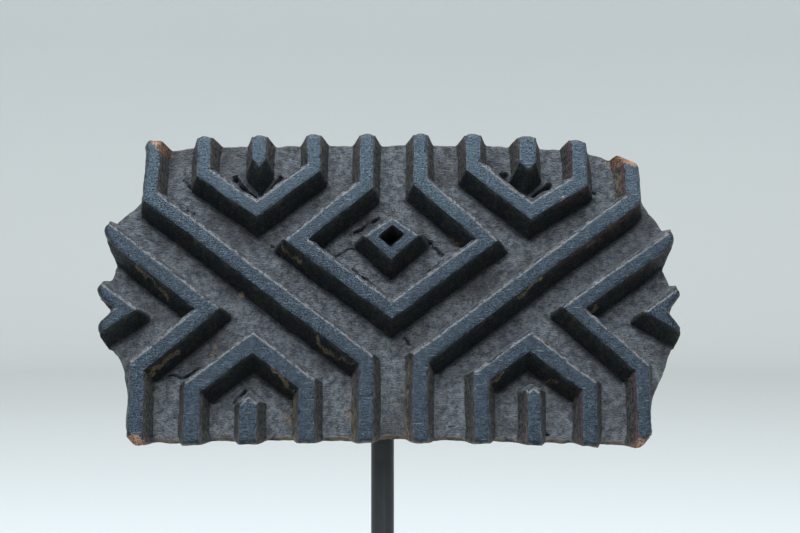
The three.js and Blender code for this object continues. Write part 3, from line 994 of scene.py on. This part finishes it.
def turned_ring(name, node, radii, softening):
    inner, outer = radii
    low, high = low_high(node)
    low += CONTACT_GAP
    profile = [(inner, low), (outer, low), (outer, high), (inner, high)]
    piece = lathe(name, softened(profile, softening))
    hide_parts(node)
    return piece


def rounded_rectangle(width, depth, radius, steps=8):
    points = []
    for quarter, (sx, sy) in enumerate(((1, 1), (-1, 1), (-1, -1), (1, -1))):
        centre_x = sx * (width / 2 - radius)
        centre_y = sy * (depth / 2 - radius)
        for k in range(steps + 1):
            turn = math.pi / 2 * (quarter + k / steps)
            points.append((centre_x + radius * math.cos(turn), centre_y + radius * math.sin(turn)))
    return points


def milled_plate(name, width, depth, radius, rings):
    """A flat plate from rings of (inset, height) in millimetres, from its underside to its top."""
    vertices = []
    faces = []
    for inset, height in rings:
        outline = rounded_rectangle(width - 2 * inset, depth - 2 * inset, max(radius - inset, 0.3))
        vertices += [(x * MM, y * MM, height * MM) for x, y in outline]
    count = len(vertices) // len(rings)
    for row in range(len(rings) - 1):
        for k in range(count):
            a, b = row * count + k, row * count + (k + 1) % count
            faces.append((a, b, b + count, a + count))
    faces.append(tuple(reversed(range(count))))
    faces.append(tuple(range(len(vertices) - count, len(vertices))))
    return mesh_object(name, vertices, faces)


def cut_away(piece, cutter):
    """Cuts one closed mesh out of another, for good."""
    change = piece.modifiers.new("cut", "BOOLEAN")
    change.object = cutter
    change.operation = "DIFFERENCE"
    change.solver = "MANIFOLD"
    apply_modifiers(piece)
    bpy.data.objects.remove(cutter)


def apply_modifiers(piece):
    graph = bpy.context.evaluated_depsgraph_get()
    mesh = bpy.data.meshes.new_from_object(piece.evaluated_get(graph))
    mesh.name = piece.name
    piece.modifiers.clear()
    old = piece.data
    piece.data = mesh
    bpy.data.meshes.remove(old)


def block_masks(place, masks):
    """Where the block's colours lie, one value per vertex."""
    points = place[:, :2]
    x, y = points.T
    level = np.where(masks["pit"] > 0.5, 0.5, masks["level"])
    on_face = masks["side"] < 0.5
    right, up = masks["facing_x"], masks["facing_y"]
    sideways = smooth_step(0.6, 0.9, np.abs(right))
    jagged = points + 0.8 * drift(x, y, 2.2, BLOCK_SEED + 72)
    streaks = [stroke_strength(jagged, a, b, 1.6 * width) for a, b, width in OCHRE_STREAKS]
    spots = [np.clip(1.5 - np.linalg.norm(points - spot, axis=1) / r, 0, 1) for spot, r in TAN_SPOTS]
    bare = [1.5 - np.linalg.norm(points - spot, axis=1) / r for spot, r in BARE_PATCHES]
    wander = smooth_noise(x, y, 6, BLOCK_SEED + 70)
    frayed = 0.5 * smooth_noise(x, y, 1.3, BLOCK_SEED + 71)
    bare_wood = smooth_step(0.3, 0.7, np.max(bare, axis=0) + frayed)
    red_width = np.where((x > 0) & (right < 0), 0.34, 0.12) * (1 + 0.5 * wander)
    red_strength = np.where(x > 0, 0.25 + 0.6 * smooth_step(30, 75, x), 0.5)
    red_band = sideways * red_strength * smooth_step(1.3, 0.8, level / red_width)
    far_right = smooth_step(52, 70, x) * smooth_step(0, 12, y)
    red_edge = far_right * smooth_step(0.3, 0.5, -up) * np.exp(-((level - 0.16) / 0.14) ** 2)
    low_middle = smooth_step(-18, -30, y) * smooth_step(-45, -34, x) * smooth_step(24, 12, x)
    high_right = smooth_step(76, 80, x) * smooth_step(16, 24, y)
    tan_band = sideways * (right < 0) * smooth_step(0.3, 0.6, level + 0.2 * wander)
    return {
        "level": np.clip(level, -1, 3),
        "raw": np.maximum(masks["raw"], bare_wood * smooth_step(13, 8, place[:, 2])),
        # Painted sheen: how much lighter the ridge tops are painted, rising towards the top of the
        # block.
        "painted_top_sheen": 0.75 * smooth_step(8, 54, y + 6 * wander),
        "side": masks["side"],
        "rim": masks["rim"] * np.where(y < -44, 0.9, 0.3),
        "wall_up": smooth_step(0.25, 0.5, up) * (1 - masks["pit"]),
        "wall_down": np.maximum(smooth_step(0.25, 0.5, -up), masks["pit"]),
        "red_band": red_band,
        "red_edge": red_edge,
        "tan_band": tan_band * np.maximum(low_middle, high_right),
        "ochre": np.max(streaks, axis=0) * on_face,
        "tan_spot": np.max(spots, axis=0) * on_face,
    }


BUSH_HOLE_HEIGHT = 46.3
BUSH_HOLE_START = 5.0


def drill_block(block):
    """The blind hole for the post, and the washer's seat around its mouth."""
    seat = low_high("support_washer")[1] + SEAT_GAP
    start = seat - SEAT_DEPTH - BUSH_HOLE_START
    end = start + BUSH_HOLE_HEIGHT
    profile = [(0, start), (SEAT_RADIUS, start), (SEAT_RADIUS, seat), (BUSH_HOLE_RADIUS, seat),
               (BUSH_HOLE_RADIUS, end), (0, end)]
    cut_away(block, lathe("drill", profile, 64))


def build_block():
    vertices, triangles, place, masks = block_mesh()
    block = mesh_object("carved_wood_block", vertices.tolist(), triangles.tolist())
    for name, values in block_masks(place, masks).items():
        attribute = block.data.attributes.new(name, "FLOAT", "POINT")
        attribute.data.foreach_set("value", np.asarray(values, np.float32))
    where = block.data.attributes.new("face_place", "FLOAT_VECTOR", "POINT")
    where.data.foreach_set("vector", np.asarray(place, np.float32).ravel())
    drill_block(block)
    shade_smooth(block, 42)
    return block


# --------------------
# The pieces.
# --------------------

def dress(piece, material):
    piece.data.materials.clear()
    piece.data.materials.append(material)


def build_washer():
    piece = turned_ring("washer_disc", "support_washer", WASHER_RADII, 0.2)
    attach(piece, "washer")
    return piece


def build_bush():
    piece = turned_ring("bush_tube", "socket_bush", BUSH_RADII, 0.12)
    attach(piece, "block")
    return piece


# Width, depth and corner radius.
BASE_SIZE = (120, 90, 2.8)
PAD_SIZE = (116, 86, 2)

SCREW_WAY_RADIUS = 2.75
COUNTERBORE_RADIUS = 5.0
COUNTERBORE_DEPTH = 6.6


def build_base_plate():
    low, high = low_high("base_plate")
    rings = [(0.8, low), (0.35, low + 0.25), (0.1, low + 0.5), (0, low + 0.9),
             (0, high - 0.9), (0.1, high - 0.5), (0.35, high - 0.25), (0.8, high)]
    piece = milled_plate("base_slab", *BASE_SIZE, rings)
    way = [(0, low - 1), (COUNTERBORE_RADIUS, low - 1), (COUNTERBORE_RADIUS, low + COUNTERBORE_DEPTH),
           (SCREW_WAY_RADIUS, low + COUNTERBORE_DEPTH), (SCREW_WAY_RADIUS, high + 1), (0, high + 1)]
    cut_away(piece, lathe("screw_way", way))
    shade_smooth(piece, 25)
    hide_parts("base_plate")
    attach(piece, "stand")
    return piece


def build_base_pad():
    low, high = low_high("base_pad")
    rings = [(0.25, low), (0.05, low + 0.12), (0, low + 0.3), (0, high - 0.2), (0.15, high)]
    piece = milled_plate("base_foot_pad", *PAD_SIZE, rings)
    shade_smooth(piece, 40)
    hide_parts("base_pad")
    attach(piece, "stand")
    return piece


steel = blackened_steel()
block = build_block()
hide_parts("carved_block")
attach(block, "block")
dress(block, carved_wood())
dress(post(), steel)
dress(build_base_plate(), steel)
dress(build_base_pad(), pad_rubber())
dress(build_washer(), washer_plastic())
dress(build_bush(), brass_liner())
fasteners = fastener_steel()
for node in ("base_screw", "lock_washer"):
    dress(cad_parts[node], fasteners)


# --------------------
# The studio: a pale bowl of paper, soft lights and the camera.
# --------------------

FLOOR_RADIUS = 2150
FLOOR_CURVE = 500
CURVE_STEPS = 12
WALL_TOP = 900
PAPER_THICKNESS = 10

BLOCK_MIDDLE = (0, 0, 0.14)
FRONT_BOX_PLACE = (-0.15, -0.96, 1.51)
FRONT_BOX_COLOUR = (0.80, 0.905, 1.0)
FLOOR_LIGHT_PLACE = (0, 1.3, 2.6)
FLOOR_LIGHT_TARGET = (0, 2.0, 0.5)
FLOOR_LIGHT_COLOUR = (0.985, 0.99, 0.975)
AIR_COLOUR = (0.75, 0.84, 0.90, 1)
AIR_STRENGTH = 0.12

CAMERA_PLACE = (-0.0051, -0.7368, 0.14175)
CAMERA_TURN = 0.87
LENS = 95
SENSOR = 36


def build_backdrop():
    curve = []
    for k in range(1, CURVE_STEPS + 1):
        turn = math.pi / 2 * k / CURVE_STEPS
        curve.append((FLOOR_RADIUS + FLOOR_CURVE * math.sin(turn), FLOOR_CURVE * (1 - math.cos(turn))))
    wall = FLOOR_RADIUS + FLOOR_CURVE
    outer = wall + PAPER_THICKNESS
    outside = [(outer, WALL_TOP), (outer, -PAPER_THICKNESS), (0, -PAPER_THICKNESS)]
    profile = [(0, 0), (300, 0), (1000, 0), (FLOOR_RADIUS, 0)] + curve + [(wall, WALL_TOP)] + outside
    backdrop = lathe("studio_backdrop", list(reversed(profile)), 128)
    dress(backdrop, studio_paper())


def soft_box(name, width, height, watts, place, target, colour):
    light = bpy.data.lights.new(name, "AREA")
    light.shape = "RECTANGLE"
    light.size = width
    light.size_y = height
    light.energy = watts
    light.color = colour
    lamp = bpy.data.objects.new(name, light)
    lamp.location = place
    lamp.rotation_euler = (Vector(target) - Vector(place)).to_track_quat("-Z", "Y").to_euler()
    lamp.visible_camera = False
    bpy.context.scene.collection.objects.link(lamp)


def build_lights():
    soft_box("front_box", 1.7, 0.9, 64, FRONT_BOX_PLACE, BLOCK_MIDDLE, FRONT_BOX_COLOUR)
    soft_box("floor_light", 3.2, 3.2, 56, FLOOR_LIGHT_PLACE, FLOOR_LIGHT_TARGET, FLOOR_LIGHT_COLOUR)
    world = bpy.data.worlds.new("studio_air")
    world.use_nodes = True
    background = world.node_tree.nodes["Background"]
    background.inputs["Color"].default_value = AIR_COLOUR
    background.inputs["Strength"].default_value = AIR_STRENGTH
    bpy.context.scene.world = world


def build_camera():
    data = bpy.data.cameras.new("camera")
    data.lens = LENS
    data.sensor_width = SENSOR
    data.clip_end = 50
    camera = bpy.data.objects.new("camera", data)
    camera.location = CAMERA_PLACE
    camera.rotation_euler = (math.radians(90), 0, -math.radians(CAMERA_TURN))
    bpy.context.scene.collection.objects.link(camera)
    bpy.context.scene.camera = camera


build_backdrop()
build_lights()
build_camera()
bpy.context.scene.view_settings.view_transform = "Standard"
